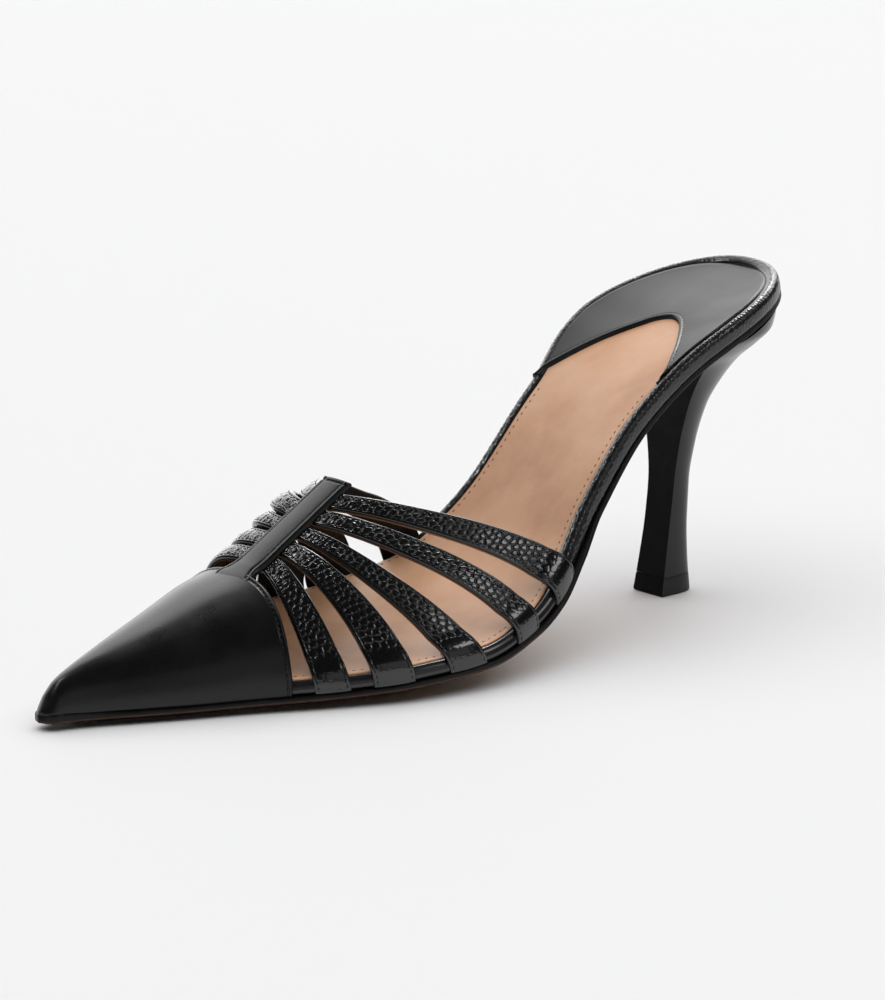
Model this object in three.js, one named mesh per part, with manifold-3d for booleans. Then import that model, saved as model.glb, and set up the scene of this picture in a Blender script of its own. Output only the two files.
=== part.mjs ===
// Pointed mule shoe, the left one of a pair, on a slim high heel. Millimetres, +Z up.
// The toe points to -X, the heel to +X, the outer side of the foot to -Y.
// Lengths along the shoe run from the toe end of the footbed (0) to its heel end.
import * as THREE from "three";
import Module from "manifold-3d";

const wasm = await Module();
wasm.setup();

// Driving sizes
const FOOTBED_LENGTH = 233;
const TOE_ROUND = 3;
const HEEL_ROUND_FROM = 196;
const HEEL_ROUND_POWER = 0.9;
const GAP = 0.3;
const FOOTBED_THICK = 4.2;
const FOOTBED_INSET = 0.4;
const OUTSOLE_DEPTH = FOOTBED_THICK + GAP;
const OUTSOLE_THICK = 2.6;
const OUTSOLE_BEVEL = 0.5;
const UPPER_WALL = 1.5;
const UPPER_STAND = 1.4;
const CAP_END = 57.5;
const BAR_END = 91.4;
const BAR_THICK = 1.1;
const BAR_CROWN = 0.4;
const KEEL_HALF = 4.2;
const KEEL_THICK = 1.5;
const STRAP_THICK = 1.5;
const TOP_LIFT = 5;

// The bottom of the last, a row for each station along the foot.
// outer, inner: half widths. seat: height of the footbed. belly: how far the sole's middle
// hangs below its edges. welt: how far the outsole stands out past the footbed.
const LAST_BOTTOM = [
  { x: 0, outer: 1.5, inner: 1.5, seat: 8.0, belly: 0.0, welt: 2.4 },
  { x: 10, outer: 5.3, inner: 5.5, seat: 8.0, belly: 0.4, welt: 2.1 },
  { x: 29, outer: 14.6, inner: 14.0, seat: 8.0, belly: 1.1, welt: 1.8 },
  { x: 48, outer: 23.5, inner: 21.5, seat: 8.2, belly: 1.5, welt: 1.7 },
  { x: 67, outer: 33.5, inner: 29.5, seat: 8.7, belly: 2.0, welt: 1.7 },
  { x: 86, outer: 41.5, inner: 35.5, seat: 9.9, belly: 3.2, welt: 1.7 },
  { x: 105, outer: 44.0, inner: 33.0, seat: 11.6, belly: 2.4, welt: 1.7 },
  { x: 120, outer: 41.6, inner: 27.0, seat: 15.6, belly: 1.2, welt: 1.7 },
  { x: 129, outer: 39.2, inner: 22.2, seat: 20.0, belly: 0.7, welt: 1.6 },
  { x: 138, outer: 36.0, inner: 17.6, seat: 28.5, belly: 0.5, welt: 1.4 },
  { x: 148, outer: 32.7, inner: 14.2, seat: 39.5, belly: 0.5, welt: 0.6 },
  { x: 167, outer: 29.6, inner: 16.0, seat: 57.7, belly: 0.5, welt: 0.3 },
  { x: 186, outer: 28.4, inner: 24.0, seat: 69.8, belly: 0.4, welt: 0.3 },
  { x: 196, outer: 28.2, inner: 26.5, seat: 74.4, belly: 0.3, welt: 0.3 },
  { x: 205, outer: 28.2, inner: 27.2, seat: 77.8, belly: 0.2, welt: 0.3 },
  { x: 233, outer: 28.2, inner: 27.2, seat: 86.0, belly: 0.0, welt: 0.3 },
];

// The top of the last over the toes, a row for each section.
// x: where the section crosses the ridge. side, top: sideways place and height of the ridge.
// outerFoot, innerFoot: where the section meets the sole on each side. full: how square it is.
const LAST_TOP = [
  { x: -1.2, side: -0.5, top: 5.2, outerFoot: -1.2, innerFoot: -1.2, full: 2.1 },
  { x: 0.2, side: -0.4, top: 7.2, outerFoot: 0.2, innerFoot: 0.2, full: 2.1 },
  { x: 1.6, side: -0.2, top: 9.4, outerFoot: 1.6, innerFoot: 1.6, full: 2.1 },
  { x: 4, side: 0, top: 11.9, outerFoot: 4, innerFoot: 4, full: 2.15 },
  { x: 10, side: 0.5, top: 14.5, outerFoot: 10, innerFoot: 10, full: 2.2 },
  { x: 20, side: 0.9, top: 17.6, outerFoot: 20, innerFoot: 20, full: 2.3 },
  { x: 35, side: 0.4, top: 22.3, outerFoot: 35, innerFoot: 35, full: 2.35 },
  { x: 50, side: -0.9, top: 27.6, outerFoot: 49, innerFoot: 50.5, full: 2.35 },
  { x: 57.5, side: -1.7, top: 30.0, outerFoot: 55.4, innerFoot: 58.9, full: 2.2 },
  { x: 62.6, side: -2.0, top: 31.9, outerFoot: 59.5, innerFoot: 64.0, full: 2.1 },
  { x: 70, side: -2.0, top: 36.2, outerFoot: 66, innerFoot: 72, full: 2.0 },
  { x: 80, side: -2.0, top: 42.2, outerFoot: 76, innerFoot: 82, full: 2.0 },
  { x: 93, side: -2.0, top: 50.0, outerFoot: 89, innerFoot: 95, full: 2.0 },
];

// The straps, front to back. barFront, barRear: where the edges leave the centre bar.
// soleFront, soleRear: where they reach the sole. full: how square the strap's bend is.
// sweep: how late it swings back towards the heel.
const OUTER_STRAPS = [
  { barFront: 63.3, barRear: 68.2, soleFront: 60.1, soleRear: 68.5, full: 1.3, sweep: 1.1 },
  { barFront: 68.7, barRear: 73.3, soleFront: 73.4, soleRear: 83.5, full: 1.5, sweep: 1.3 },
  { barFront: 74.4, barRear: 78.2, soleFront: 93.0, soleRear: 103.8, full: 1.4, sweep: 1.4 },
  { barFront: 79.2, barRear: 83.8, soleFront: 114.1, soleRear: 122.0, full: 1.66, sweep: 1.48 },
  { barFront: 84.5, barRear: 89.2, soleFront: 128.8, soleRear: 135.7, full: 1.7, sweep: 1.5 },
];
const INNER_STRAPS = [
  { barFront: 64.3, barRear: 68.5, soleFront: 63.8, soleRear: 71.4, full: 1.63, sweep: 1.06 },
  { barFront: 69.4, barRear: 73.9, soleFront: 78.3, soleRear: 89.4, full: 1.4, sweep: 1.12 },
  { barFront: 74.6, barRear: 78.5, soleFront: 93.8, soleRear: 104.2, full: 1.45, sweep: 1.08 },
  { barFront: 79.1, barRear: 84.2, soleFront: 109.0, soleRear: 116.6, full: 1.68, sweep: 1.2 },
  { barFront: 84.9, barRear: 89.6, soleFront: 125.2, soleRear: 133.0, full: 1.6, sweep: 1.1 },
];

// Half width of the folded bar on the instep; it opens out where it springs from the cap.
const BAR_WIDTHS = [
  { x: 58.1, half: 6.8 },
  { x: 59.4, half: 6.0 },
  { x: 61, half: 5.4 },
  { x: 63, half: 5.0 },
  { x: 91.4, half: 5.0 },
];

// The heel, a row for each height. breast: its flat front. half: half width. depth: front to
// back. square: how square the back is.
const HEEL_LEVELS = [
  { z: 0, breast: 195.8, half: 5.9, depth: 12.4, square: 3.4 },
  { z: 10, breast: 197.6, half: 5.4, depth: 10.0, square: 3.0 },
  { z: 20, breast: 199.2, half: 5.1, depth: 8.6, square: 2.6 },
  { z: 30, breast: 200.4, half: 5.2, depth: 8.2, square: 2.3 },
  { z: 40, breast: 201.0, half: 6.4, depth: 9.6, square: 2.1 },
  { z: 50, breast: 201.3, half: 9.2, depth: 12.4, square: 2.0 },
  { z: 57, breast: 201.3, half: 12.4, depth: 16.8, square: 2.0 },
  { z: 63, breast: 201.0, half: 17.0, depth: 22.5, square: 2.0 },
  { z: 68, breast: 200.2, half: 23.5, depth: 28.8, square: 2.1 },
  { z: 72, breast: 199.4, half: 27.0, depth: 32.8, square: 2.15 },
  { z: 77, breast: 198.6, half: 27.5, depth: 35.2, square: 2.15 },
  { z: 84, breast: 198.0, half: 27.5, depth: 36.2, square: 2.15 },
];
const HEEL_MIDDLE = -0.5;
const HEEL_BASE_MIDDLE = 0.9;

// A smooth curve through a table's column, without overshoot and straight past its ends.
function curve(table, key, column) {
  const xs = table.map((row) => row[key]);
  const ys = table.map((row) => row[column]);
  const last = xs.length - 1;
  const steps = xs.slice(1).map((x, i) => (ys[i + 1] - ys[i]) / (x - xs[i]));
  const slopes = xs.map((x, i) => {
    if (i === 0) return steps[0];
    if (i === last) return steps[last - 1];
    if (steps[i - 1] * steps[i] <= 0) return 0;
    return (2 * steps[i - 1] * steps[i]) / (steps[i - 1] + steps[i]);
  });
  return (x) => {
    const inside = Math.min(Math.max(x, xs[0]), xs[last]);
    const beyond = (x - inside) * slopes[x < inside ? 0 : last];
    let i = 0;
    while (i < last - 1 && inside > xs[i + 1]) i += 1;
    const h = xs[i + 1] - xs[i];
    const t = (inside - xs[i]) / h;
    const a = (1 + 2 * t) * (1 - t) * (1 - t);
    const b = t * (1 - t) * (1 - t);
    const c = t * t * (3 - 2 * t);
    const d = t * t * (t - 1);
    const value = a * ys[i] + b * h * slopes[i] + c * ys[i + 1] + d * h * slopes[i + 1];
    return value + beyond;
  };
}

const bottomOuter = curve(LAST_BOTTOM, "x", "outer");
const bottomInner = curve(LAST_BOTTOM, "x", "inner");
const seatHeight = curve(LAST_BOTTOM, "x", "seat");
const bellyDepth = curve(LAST_BOTTOM, "x", "belly");
const weltWidth = curve(LAST_BOTTOM, "x", "welt");
const ridgeSide = curve(LAST_TOP, "x", "side");
const ridgeTop = curve(LAST_TOP, "x", "top");
const outerFoot = curve(LAST_TOP, "x", "outerFoot");
const innerFoot = curve(LAST_TOP, "x", "innerFoot");
const capFullness = curve(LAST_TOP, "x", "full");
const barHalf = curve(BAR_WIDTHS, "x", "half");

const steps = (from, to, count) =>
  Array.from({ length: count + 1 }, (_, i) => from + ((to - from) * i) / count);

// Half width of the footbed at a length, rounded at the toe and at the heel end.
function halfWidth(x, side) {
  const width = side < 0 ? bottomOuter : bottomInner;
  if (x < TOE_ROUND) {
    const run = Math.min(1, (TOE_ROUND - x) / TOE_ROUND);
    return width(TOE_ROUND) * Math.sqrt(Math.max(0, 1 - run * run));
  }
  if (x > HEEL_ROUND_FROM) {
    const run = Math.min(1, (x - HEEL_ROUND_FROM) / (FOOTBED_LENGTH - HEEL_ROUND_FROM));
    return width(HEEL_ROUND_FROM) * Math.pow(1 - run * run, HEEL_ROUND_POWER / 2);
  }
  return width(x);
}

// A point of the footbed's outline moved outwards by a distance.
function edgePoint(x, side, outwards) {
  const reach = 0.05;
  const ahead = Math.min(x + reach, FOOTBED_LENGTH);
  const behind = Math.max(x - reach, 0);
  const rise = halfWidth(ahead, side) - halfWidth(behind, side);
  const run = ahead - behind;
  const size = Math.hypot(rise, run);
  return {
    x: x - (outwards * rise) / size,
    y: side * (halfWidth(x, side) + (outwards * run) / size),
  };
}

// A place a depth below the footbed's own surface, square to it.
function below(x, y, depth) {
  const slope = seatHeight(x + 0.5) - seatHeight(x - 0.5);
  const size = Math.hypot(1, slope);
  return [x + (depth * slope) / size, y, seatHeight(x) - depth / size];
}

// A closed body from rings of points, each ring with the same number of points.
function loft(rings) {
  const count = rings[0].length;
  const points = rings.flat();
  const triangles = [];
  for (let r = 0; r + 1 < rings.length; r += 1)
    for (let i = 0; i < count; i += 1) {
      const a = r * count + i;
      const b = r * count + ((i + 1) % count);
      triangles.push(a, b, b + count, a, b + count, a + count);
    }
  for (const [ring, way] of [[0, -1], [rings.length - 1, 1]]) {
    const start = ring * count;
    const middle = points.length;
    const sum = rings[ring].reduce((s, p) => s.map((v, k) => v + p[k]), [0, 0, 0]);
    points.push(sum.map((v) => v / count));
    for (let i = 0; i < count; i += 1) {
      const a = start + i;
      const b = start + ((i + 1) % count);
      triangles.push(...(way > 0 ? [a, b, middle] : [b, a, middle]));
    }
  }
  const mesh = { numProp: 3, vertProperties: new Float32Array(points.flat()) };
  const made = new wasm.Manifold(
    new wasm.Mesh({ ...mesh, triVerts: new Uint32Array(triangles) }),
  );
  if (made.volume() > 0) return made;
  for (let i = 0; i < triangles.length; i += 3)
    [triangles[i + 1], triangles[i + 2]] = [triangles[i + 2], triangles[i + 1]];
  return new wasm.Manifold(
    new wasm.Mesh({ ...mesh, triVerts: new Uint32Array(triangles) }),
  );
}

// Stations along the sole, close together where the outline turns.
const SOLE_STATIONS = [
  0.03, 0.35, 1.0, 2.0, 3, 6, 12, 20, 29, 38, 48, 57, 67, 77, 86, 95, 104, 112, 119, 124,
  129, 133.5, 138, 142.5, 147, 152, 158, 165, 173, 181, 189, 196, 203, 210, 217, 223, 227.5,
  230.5, 232.2, 232.9,
];

// A plate that follows the footbed: rim gives its edge as pairs of depth and way out, top
// down; middle gives the depth under a point a share of the way across.
function plate(stations, rim, topDepth, middleDepth) {
  const across = [-0.7, 0, 0.7];
  const rings = stations.map((x) => {
    const out = rim(x)[0].out;
    const edges = { outer: edgePoint(x, -1, out), inner: edgePoint(x, 1, out) };
    const edge = (side) =>
      rim(x).map((row) => {
        const p = edgePoint(x, side, row.out);
        return below(p.x, p.y, row.depth);
      });
    const inside = (share, depth) => {
      const t = (share + 1) / 2;
      const along = edges.outer.x + (edges.inner.x - edges.outer.x) * t;
      return below(along, edges.outer.y + (edges.inner.y - edges.outer.y) * t, depth);
    };
    return [
      ...edge(-1),
      ...across.map((share) => inside(share, middleDepth(x, share))),
      ...edge(1).reverse(),
      ...across.map((share) => inside(-share, topDepth)),
    ];
  });
  return loft(rings.map((ring) => ring.map(([x, y, z]) => [x, y, Math.max(z, 0)])));
}

function outsoleBody(grow) {
  const high = OUTSOLE_DEPTH - grow;
  const low = OUTSOLE_DEPTH + OUTSOLE_THICK + grow;
  const rim = (x) => [
    { depth: high, out: weltWidth(x) + grow },
    { depth: low - OUTSOLE_BEVEL, out: weltWidth(x) + grow },
    { depth: low, out: weltWidth(x) + grow - OUTSOLE_BEVEL },
  ];
  const middle = (x, share) => low + bellyDepth(x) * (share === 0 ? 1 : 0.85);
  return plate(SOLE_STATIONS, rim, high, middle);
}

function footbedBody(grow) {
  const out = grow - FOOTBED_INSET;
  const low = FOOTBED_THICK + grow;
  const rim = () => [
    { depth: -grow, out: out - 0.6 },
    { depth: 0.6 - grow, out },
    { depth: low - 0.4, out },
    { depth: low, out: out - 0.4 },
  ];
  const inside = SOLE_STATIONS.filter((x) => x >= 2);
  return plate(inside, rim, -grow, () => low);
}

// Half width of the cap's foot where the outline rounds over the toe.
function noseHalf(x, side, inwards) {
  const start = -UPPER_STAND + inwards;
  const full = halfWidth(TOE_ROUND, side) + UPPER_STAND - inwards;
  const run = Math.min(1, (TOE_ROUND - x) / (TOE_ROUND - start));
  return full * Math.sqrt(Math.max(0, 1 - run * run));
}

// A section of the toe cap from the outer foot over the ridge to the inner foot.
function capSection(x, inwards, foot) {
  const arc = steps(0, 90, 11);
  const half = (side) => {
    const along = side < 0 ? outerFoot(x) : innerFoot(x);
    const width =
      along < TOE_ROUND
        ? noseHalf(along, side, inwards)
        : halfWidth(along, side) + UPPER_STAND - inwards;
    const at = Math.max(along, 0);
    const base = below(at, 0, FOOTBED_THICK);
    const low = [base[0] + (along - at), side * width, base[2]];
    const ridge = [x, ridgeSide(x), ridgeTop(x) - inwards];
    return arc.map((angle) => {
      const turn = (angle * Math.PI) / 180;
      const out = Math.pow(Math.sin(turn), 2 / capFullness(x));
      const up = Math.pow(Math.cos(turn), 2 / capFullness(x));
      return [
        ridge[0] + (low[0] - ridge[0]) * out,
        ridge[1] + (low[1] - ridge[1]) * out,
        low[2] + (ridge[2] - low[2]) * up,
      ];
    });
  };
  const outer = half(-1).reverse();
  const inner = half(1).slice(1);
  const first = outer[0];
  const last = inner[inner.length - 1];
  const low = (p) => [p[0], p[1], p[2] - foot];
  return foot > 0 ? [low(first), ...outer, ...inner, low(last)] : [...outer, ...inner];
}

function capShell() {
  const nose = [-1.15, -0.6, 0.4, 1.8, 4, 7.5, 12];
  const outside = [...nose, ...steps(17, CAP_END, 8)];
  const inside = [0.8, 2.2, 4, 7.5, 12, ...steps(17, CAP_END + 2, 8)];
  const skin = loft(outside.map((x) => capSection(x, 0, 0)));
  const hollow = loft(inside.map((x) => capSection(x, UPPER_WALL, 6)));
  return skin.subtract(hollow);
}

// A strap from under the centre bar to the sole, as a ribbon with a slightly rounded face.
function strapBody(strap, side) {
  const path = (share) => {
    const bar = strap.barFront + (strap.barRear - strap.barFront) * share;
    const sole = strap.soleFront + (strap.soleRear - strap.soleFront) * share;
    const foot = below(sole, side * (halfWidth(sole, side) + UPPER_STAND), FOOTBED_THICK);
    const start = [bar, ridgeSide(bar) + side * 4.4, ridgeTop(bar) - 1.3];
    const run = steps(0, 90, 20).map((angle) => {
      const turn = (angle * Math.PI) / 180;
      const out = Math.pow(Math.sin(turn), 2 / strap.full);
      const up = Math.pow(Math.cos(turn), 2 / strap.full);
      return new THREE.Vector3(
        start[0] + (foot[0] - start[0]) * Math.pow(out, strap.sweep),
        start[1] + (foot[1] - start[1]) * out,
        foot[2] + (start[2] - foot[2]) * up,
      );
    });
    const under = new THREE.Vector3(bar, ridgeSide(bar) + side * 1.5, start[2]);
    return [under, ...run];
  };
  const shares = [0, 0.14, 0.5, 0.86, 1];
  const drops = [0.35, 0.05, 0, 0.05, 0.35];
  const paths = shares.map(path);
  const rings = paths[0].map((_, i) => {
    const before = paths[2][Math.max(0, i - 1)];
    const after = paths[2][Math.min(paths[2].length - 1, i + 1)];
    const along = after.clone().sub(before);
    const across = paths[4][i].clone().sub(paths[0][i]);
    const out = along.cross(across).normalize().multiplyScalar(-side);
    if (out.z < 0 && i < 12) out.negate();
    const face = paths.map((p, k) => p[i].clone().addScaledVector(out, -drops[k]));
    const back = [4, 2, 0].map((k) => paths[k][i].clone().addScaledVector(out, -STRAP_THICK));
    return [...face, ...back].map((p) => [p.x, p.y, p.z]);
  });
  return loft(rings);
}

// A strip along the instep ridge between two depths.
function ridgeStrip(from, to, count, half, top, bottom, crown) {
  const rings = steps(from, to, count).map((x) => {
    const w = half(x);
    const z = ridgeTop(x);
    const y = ridgeSide(x);
    return [
      [x, y - w, z - bottom],
      [x, y - w, z - top - crown],
      [x, y - w * 0.5, z - top - crown * 0.3],
      [x, y, z - top],
      [x, y + w * 0.5, z - top - crown * 0.3],
      [x, y + w, z - top - crown],
      [x, y + w, z - bottom],
    ];
  });
  return loft(rings);
}

const barAt = (grow) =>
  ridgeStrip(
    58.1 - grow, BAR_END + grow, 16, (x) => barHalf(x) + grow,
    -BAR_CROWN - grow, BAR_THICK + grow, BAR_CROWN,
  );

function upperBody() {
  const keelTop = BAR_THICK + GAP;
  const keel = ridgeStrip(
    54, BAR_END - 0.4, 16, () => KEEL_HALF, keelTop, keelTop + KEEL_THICK, 0,
  );
  const straps = [
    ...OUTER_STRAPS.map((strap) => strapBody(strap, -1)),
    ...INNER_STRAPS.map((strap) => strapBody(strap, 1)),
  ];
  const joined = wasm.Manifold.union([capShell(), keel, ...straps]);
  const clear = wasm.Manifold.union([
    barAt(GAP),
    outsoleBody(GAP - 0.02),
    footbedBody(GAP - 0.02),
  ]);
  return joined.subtract(clear);
}

function heelBody() {
  const arc = steps(-90, 90, 14);
  const lean = (z) => Math.max(0, 1 - z / 70);
  const middle = (z) => HEEL_MIDDLE + (HEEL_BASE_MIDDLE - HEEL_MIDDLE) * lean(z);
  const columns = ["breast", "half", "depth", "square"].map((c) => curve(HEEL_LEVELS, "z", c));
  const [breast, half, depth, square] = columns;
  const levels = [0, 6, 12, 18, 24, 30, 36, 42, 47, 52, 56, 60, 63, 66, 69, 72, 75, 79, 84];
  const ring = (z) =>
    arc.map((angle) => {
      const turn = (angle * Math.PI) / 180;
      const power = 2 / square(z);
      return [
        breast(z) + depth(z) * Math.pow(Math.max(0, Math.cos(turn)), power),
        middle(z) + half(z) * Math.sign(turn) * Math.pow(Math.abs(Math.sin(turn)), power),
        z,
      ];
    });
  return loft(levels.map(ring));
}

function heelPieces() {
  const whole = heelBody();
  const sole = outsoleBody(GAP);
  const above = plate(
    SOLE_STATIONS.filter((x) => x > 160),
    () => [{ depth: -12, out: 8 }, { depth: OUTSOLE_DEPTH + 1, out: 8 }],
    -12,
    () => OUTSOLE_DEPTH + 1,
  );
  const cut = whole.subtract(wasm.Manifold.union([sole, above]));
  const upright = cut.trimByPlane([0, 0, 1], TOP_LIFT + GAP);
  const lift = whole.trimByPlane([0, 0, -1], -TOP_LIFT);
  return { upright, lift };
}

const SATIN_LEATHER = { color: 0x17171a, roughness: 0.45, metalness: 0 };
const SNAKE_LEATHER = { color: 0x101012, roughness: 0.3, metalness: 0 };
const SOCK_LEATHER = { color: 0xdcb497, roughness: 0.6, metalness: 0 };
const SOLE_LEATHER = { color: 0x1b1918, roughness: 0.5, metalness: 0 };
const HEEL_LEATHER = { color: 0x1a1a1c, roughness: 0.35, metalness: 0 };
const LIFT_RUBBER = { color: 0x0e0e0f, roughness: 0.8, metalness: 0 };

function largestBody(body) {
  const pieces = body.decompose();
  pieces.sort((a, b) => b.volume() - a.volume());
  return pieces[0];
}

function toMesh(name, body, look) {
  const source = body.getMesh();
  const count = source.vertProperties.length / source.numProp;
  const positions = new Float32Array(count * 3);
  for (let i = 0; i < count; i += 1)
    positions.set(source.vertProperties.subarray(i * source.numProp, i * source.numProp + 3), i * 3);
  const geometry = new THREE.BufferGeometry();
  geometry.setAttribute("position", new THREE.BufferAttribute(positions, 3));
  geometry.setIndex(new THREE.BufferAttribute(new Uint32Array(source.triVerts), 1));
  const mesh = new THREE.Mesh(geometry, new THREE.MeshStandardMaterial(look));
  mesh.name = name;
  return mesh;
}

const heel = heelPieces();
const bodies = [
  ["outsole", outsoleBody(0), SOLE_LEATHER],
  ["footbed", footbedBody(0), SOCK_LEATHER],
  ["upper", largestBody(upperBody()), SNAKE_LEATHER],
  ["centre_bar", barAt(0), SATIN_LEATHER],
  ["heel", largestBody(heel.upright), HEEL_LEATHER],
  ["top_lift", heel.lift, LIFT_RUBBER],
];

const shoe = new THREE.Group();
shoe.name = "mule_shoe";
bodies.forEach(([name, body, look]) => shoe.add(toMesh(name, body, look)));

// The shoe's own frame has its origin under the middle of its box, on the floor.
const box = new THREE.Box3().setFromObject(shoe);
const middle = box.getCenter(new THREE.Vector3());
shoe.children.forEach((mesh) => mesh.geometry.translate(-middle.x, -middle.y, -box.min.z));

export default shoe;
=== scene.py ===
"""The looks of a pointed mule shoe, the left one of a pair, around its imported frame."""
import bisect
import math

import bmesh
import bpy
from mathutils import Matrix, Quaternion, Vector, noise


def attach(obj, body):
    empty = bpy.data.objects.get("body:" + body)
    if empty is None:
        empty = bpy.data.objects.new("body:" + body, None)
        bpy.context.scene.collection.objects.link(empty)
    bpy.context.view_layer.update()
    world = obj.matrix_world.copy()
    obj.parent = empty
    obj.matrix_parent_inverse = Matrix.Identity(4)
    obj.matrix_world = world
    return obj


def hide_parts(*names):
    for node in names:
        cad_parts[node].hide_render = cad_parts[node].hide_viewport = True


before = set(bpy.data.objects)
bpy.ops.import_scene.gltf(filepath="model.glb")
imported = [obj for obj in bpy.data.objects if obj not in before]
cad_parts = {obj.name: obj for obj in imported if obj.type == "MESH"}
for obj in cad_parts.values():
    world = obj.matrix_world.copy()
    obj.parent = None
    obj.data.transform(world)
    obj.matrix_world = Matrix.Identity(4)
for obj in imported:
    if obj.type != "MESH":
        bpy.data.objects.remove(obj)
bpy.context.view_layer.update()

# ---------------------------------------------------------------- the shoe's own sizes, in mm
# Lengths run from the toe end of the insole (0) to its heel end; -y is the outer side.
MM = 0.001
BOX_MIDDLE = Vector((116.4224, -4.2448, 0.0))
OUTER, INNER = -1, 1

FOOTBED_LENGTH = 233
TOE_ROUND = 3
HEEL_ROUND_FROM = 196
HEEL_ROUND_POWER = 0.9
FOOTBED_THICK = 4.2
OUTSOLE_DEPTH = 4.5
OUTSOLE_THICK = 2.6
UPPER_WALL = 1.5
UPPER_STAND = 1.4
EDGE_THICK = 1.5
BEVEL_WIDTH = 4.5
CAP_END = 57.5
BAR_END = 91.4
TOP_LIFT = 5.0

LAST_BOTTOM = (
    ("x", "outer", "inner", "seat", "belly", "welt"),
    (0, 1.5, 1.5, 8.0, 0.0, 2.4),
    (10, 5.3, 5.5, 8.0, 0.4, 2.1),
    (29, 14.6, 14.0, 8.0, 1.1, 1.8),
    (48, 23.5, 21.5, 8.2, 1.5, 1.7),
    (67, 33.5, 29.5, 8.7, 2.0, 1.7),
    (86, 41.5, 35.5, 9.9, 3.2, 1.7),
    (105, 44.0, 33.0, 11.6, 2.4, 1.7),
    (120, 41.6, 27.0, 15.6, 1.2, 1.7),
    (129, 39.2, 22.2, 20.0, 0.7, 1.6),
    (138, 36.0, 17.6, 28.5, 0.5, 1.4),
    (148, 32.7, 14.2, 39.5, 0.5, 0.6),
    (167, 29.6, 16.0, 57.7, 0.5, 0.3),
    (186, 28.4, 24.0, 69.8, 0.4, 0.3),
    (196, 28.2, 26.5, 74.4, 0.3, 0.3),
    (205, 28.2, 27.2, 77.8, 0.2, 0.3),
    (233, 28.2, 27.2, 86.0, 0.0, 0.3),
)
LAST_TOP = (
    ("x", "side", "top", "outer_foot", "inner_foot", "full"),
    (-1.2, -0.5, 5.2, -1.2, -1.2, 2.1),
    (0.2, -0.4, 7.2, 0.2, 0.2, 2.1),
    (1.6, -0.2, 9.4, 1.6, 1.6, 2.1),
    (4, 0, 11.9, 4, 4, 2.15),
    (10, 0.5, 14.5, 10, 10, 2.2),
    (20, 0.9, 17.6, 20, 20, 2.3),
    (35, 0.4, 22.3, 35, 35, 2.35),
    (50, -0.9, 27.6, 49, 50.5, 2.35),
    (57.5, -1.7, 30.0, 55.4, 58.9, 2.2),
    (62.6, -2.0, 31.9, 59.5, 64.0, 2.1),
    (70, -2.0, 36.2, 66, 72, 2.0),
    (80, -2.0, 42.2, 76, 82, 2.0),
    (93, -2.0, 50.0, 89, 95, 2.0),
)
STRAP_COLUMNS = ("bar_front", "bar_rear", "sole_front", "sole_rear", "full", "sweep")
OUTER_STRAPS = (
    (63.3, 68.2, 60.1, 68.5, 1.3, 1.1),
    (68.7, 73.3, 73.4, 83.5, 1.5, 1.3),
    (74.4, 78.2, 93.0, 103.8, 1.4, 1.4),
    (79.2, 83.8, 114.1, 122.0, 1.66, 1.48),
    (84.5, 89.2, 128.8, 135.7, 1.7, 1.5),
)
INNER_STRAPS = (
    (64.3, 68.5, 63.8, 71.4, 1.63, 1.06),
    (69.4, 73.9, 78.3, 89.4, 1.4, 1.12),
    (74.6, 78.5, 93.8, 104.2, 1.45, 1.08),
    (79.1, 84.2, 109.0, 116.6, 1.68, 1.2),
    (84.9, 89.6, 125.2, 133.0, 1.6, 1.1),
)
# The folded bar on the instep opens out where it springs from the cap.
BAR_SHAPE = (
    ("x", "half", "rise"),
    (50.0, 5.6, -0.9),
    (55.5, 5.8, -0.25),
    (57.5, 6.9, 0.15),
    (59.5, 5.8, 0.4),
    (62.0, 5.1, 0.6),
    (91.9, 5.0, 0.7),
)
HEEL_LEVELS = (
    ("z", "breast", "half", "depth", "square"),
    (0, 195.8, 5.9, 12.4, 3.4),
    (10, 197.6, 5.4, 10.0, 3.0),
    (20, 199.2, 5.1, 8.6, 2.6),
    (30, 200.4, 5.2, 8.2, 2.3),
    (40, 201.0, 6.4, 9.6, 2.1),
    (50, 201.3, 9.2, 12.4, 2.0),
    (57, 201.3, 12.4, 16.8, 2.0),
    (63, 201.0, 16.8, 21.9, 2.0),
    (68, 200.2, 22.8, 27.4, 2.1),
    (72, 199.4, 26.6, 31.2, 2.15),
    (77, 198.6, 27.2, 33.4, 2.15),
    (84, 198.0, 27.2, 34.3, 2.15),
)
HEEL_MIDDLE = -0.5
HEEL_BASE_MIDDLE = 0.9

# The mouth of the heel pad, from the inner edge round the tongue to the outer edge.
PAD_MOUTH = (
    (170.5, 16.6), (174.3, 14.6), (178.8, 12.4), (183.7, 9.9), (189.2, 6.6), (194.7, 2.9),
    (198.4, 0.0), (200.2, -3.4), (199.6, -7.0), (196.9, -10.9), (190.5, -17.2),
    (185.5, -21.2), (180.8, -24.6), (177.0, -26.6),
)

# How far the tan sock stays inside the edge, and how deep the seat is dished.
SOCK_SHAPE = (
    ("x", "inset", "dish"),
    (0, 0.6, 0.2),
    (60, 1.0, 0.3),
    (120, 1.3, 0.4),
    (140, 2.6, 0.6),
    (170, 2.9, 1.1),
    (200, 2.9, 1.9),
    (233, 2.9, 1.9),
)

# Pressed snake scales: their pitch, the rows' share of it, their unevenness and their relief.
SCALE_PITCH = 2.0
SCALE_ROWS = 0.92
SCALE_JITTER = 0.5
SCALE_DOME = 0.012
SCALE_TILT = 0.05
GROOVE_DEPTH = 0.22
GROOVE_HALF = 0.17
STITCH_INSET = 1.0
STITCH_SUNK = 0.06
BAR_STITCH_INSET = 1.35
STRAP_PITCH = 1.45
UPPER_PITCH = 1.5
PAD_PITCH = 1.6
SOCK_PITCH = 2.1

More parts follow.
